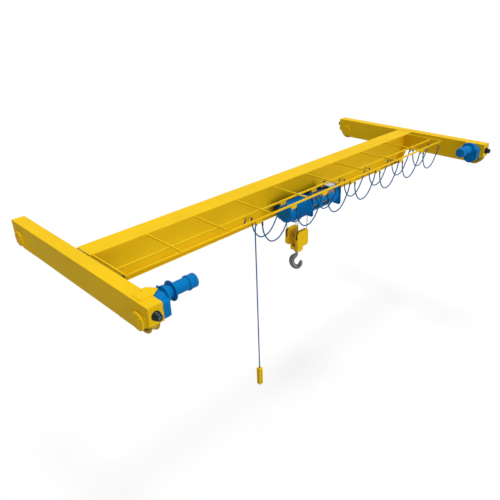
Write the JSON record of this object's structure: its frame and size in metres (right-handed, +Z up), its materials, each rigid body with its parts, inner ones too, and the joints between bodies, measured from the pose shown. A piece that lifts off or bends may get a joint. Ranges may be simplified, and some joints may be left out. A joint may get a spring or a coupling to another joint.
{
  "type": "overhead bridge crane",
  "caption": "Single-girder overhead travelling crane: yellow welded girder on two end carriages, blue low-headroom rope hoist, forged hook, cable loops and a hanging control box.",
  "frame": {"origin": "foot of the tread of the left near wheel, where it stands on the runway rail", "axes": "+X along the girder from the left carriage to the right one, +Y along the runway away from the drive side, +Z up"},
  "size_m": [10.334, 4.638, 3.935],
  "materials": {
    "crane_yellow": "semi-gloss",
    "drive_blue": "semi-gloss",
    "bare_steel": "machined",
    "wheel_steel": "painted sides, worn tread",
    "dark_steel": "matt",
    "hook_steel": "forged, satin",
    "buffer_rubber": "matt",
    "cable_sheath": "smooth",
    "rope_steel": "stranded",
    "box_grey": "satin"
  },
  "bodies": {
    "bridge": {"girder_top_flange": "crane_yellow", "girder_web": "crane_yellow", "girder_bottom_flange": "crane_yellow", "girder_end_plates": "crane_yellow", "left_carriage": "crane_yellow", "right_carriage": "crane_yellow", "carriage_end_plates": "crane_yellow", "wheel_pads": "crane_yellow", "buffers": "buffer_rubber", "drive_brackets": "crane_yellow", "travel_reducers": "drive_blue", "travel_motors": "drive_blue", "rail_arms": "crane_yellow", "cable_tracks": "crane_yellow", "cable_trolleys": "crane_yellow", "inner_cable": "cable_sheath", "outer_cable": "cable_sheath", "pendant_cable": "cable_sheath", "pendant_box": "crane_yellow", "trolley_stops": "dark_steel"},
    "hoist": {"trolley_plates": "drive_blue", "cross_beams": "drive_blue", "drum_end_plates": "drive_blue", "drum_casing": "drive_blue", "hoist_motor": "drive_blue", "hoist_gear_cover": "drive_blue", "control_box": "box_grey", "rope_falls": "rope_steel"},
    "drum": {"rope_drum": "dark_steel"},
    "hook_block": {"sheave_housings": "crane_yellow", "block_sheaves": "dark_steel", "sheave_pin": "bare_steel", "crosshead": "crane_yellow"},
    "hook": {"hook": "hook_steel"},
    "wheel_left_near": {"wheel_left_near": "wheel_steel"},
    "wheel_left_far": {"wheel_left_far": "wheel_steel"},
    "wheel_right_near": {"wheel_right_near": "wheel_steel"},
    "wheel_right_far": {"wheel_right_far": "wheel_steel"},
    "trolley_wheel_near_1": {"trolley_wheel_near_1": "dark_steel"},
    "trolley_wheel_near_2": {"trolley_wheel_near_2": "dark_steel"},
    "trolley_wheel_near_3": {"trolley_wheel_near_3": "dark_steel"},
    "trolley_wheel_near_4": {"trolley_wheel_near_4": "dark_steel"},
    "trolley_wheel_far_1": {"trolley_wheel_far_1": "dark_steel"},
    "trolley_wheel_far_2": {"trolley_wheel_far_2": "dark_steel"},
    "trolley_wheel_far_3": {"trolley_wheel_far_3": "dark_steel"},
    "trolley_wheel_far_4": {"trolley_wheel_far_4": "dark_steel"}
  },
  "joints": [
    {"name": "trolley_travel", "type": "slide", "parent": "bridge", "child": "hoist", "axis": [1, 0, 0], "range_m": [-3.6, 2.6]},
    {"name": "hook_lift", "type": "slide", "parent": "hoist", "child": "hook_block", "axis": [0, 0, 1], "range_m": [-2.1, 0.35], "deforming": ["rope_falls"]},
    {"name": "hook_swivel", "type": "hinge", "parent": "hook_block", "child": "hook", "pos_m": [5.41, 1.96, -1.365], "axis": [0, 0, 1], "continuous": true},
    {"name": "drum_turn", "type": "hinge", "parent": "hoist", "child": "drum", "pos_m": [5.41, 1.46, -0.075], "axis": [1, 0, 0], "continuous": true},
    {"name": "wheel_left_near_roll", "type": "hinge", "parent": "bridge", "child": "wheel_left_near", "pos_m": [0, 0, 0.2], "axis": [1, 0, 0], "continuous": true},
    {"name": "wheel_left_far_roll", "type": "hinge", "parent": "bridge", "child": "wheel_left_far", "pos_m": [0, 3.92, 0.2], "axis": [1, 0, 0], "continuous": true},
    {"name": "wheel_right_near_roll", "type": "hinge", "parent": "bridge", "child": "wheel_right_near", "pos_m": [10, 0, 0.2], "axis": [1, 0, 0], "continuous": true},
    {"name": "wheel_right_far_roll", "type": "hinge", "parent": "bridge", "child": "wheel_right_far", "pos_m": [10, 3.92, 0.2], "axis": [1, 0, 0], "continuous": true},
    {"name": "trolley_wheel_near_1_roll", "type": "hinge", "parent": "hoist", "child": "trolley_wheel_near_1", "pos_m": [4.7, 1.898, -0.105], "axis": [0, 1, 0], "continuous": true},
    {"name": "trolley_wheel_near_2_roll", "type": "hinge", "parent": "hoist", "child": "trolley_wheel_near_2", "pos_m": [5.03, 1.898, -0.105], "axis": [0, 1, 0], "continuous": true},
    {"name": "trolley_wheel_near_3_roll", "type": "hinge", "parent": "hoist", "child": "trolley_wheel_near_3", "pos_m": [5.62, 1.898, -0.105], "axis": [0, 1, 0], "continuous": true},
    {"name": "trolley_wheel_near_4_roll", "type": "hinge", "parent": "hoist", "child": "trolley_wheel_near_4", "pos_m": [5.96, 1.898, -0.105], "axis": [0, 1, 0], "continuous": true},
    {"name": "trolley_wheel_far_1_roll", "type": "hinge", "parent": "hoist", "child": "trolley_wheel_far_1", "pos_m": [4.7, 2.022, -0.105], "axis": [0, 1, 0], "continuous": true},
    {"name": "trolley_wheel_far_2_roll", "type": "hinge", "parent": "hoist", "child": "trolley_wheel_far_2", "pos_m": [5.03, 2.022, -0.105], "axis": [0, 1, 0], "continuous": true},
    {"name": "trolley_wheel_far_3_roll", "type": "hinge", "parent": "hoist", "child": "trolley_wheel_far_3", "pos_m": [5.62, 2.022, -0.105], "axis": [0, 1, 0], "continuous": true},
    {"name": "trolley_wheel_far_4_roll", "type": "hinge", "parent": "hoist", "child": "trolley_wheel_far_4", "pos_m": [5.96, 2.022, -0.105], "axis": [0, 1, 0], "continuous": true}
  ],
  "couplings": [
    {"joint": "drum_turn", "follows": "hook_lift", "rad_per_m": 24.24}
  ]
}
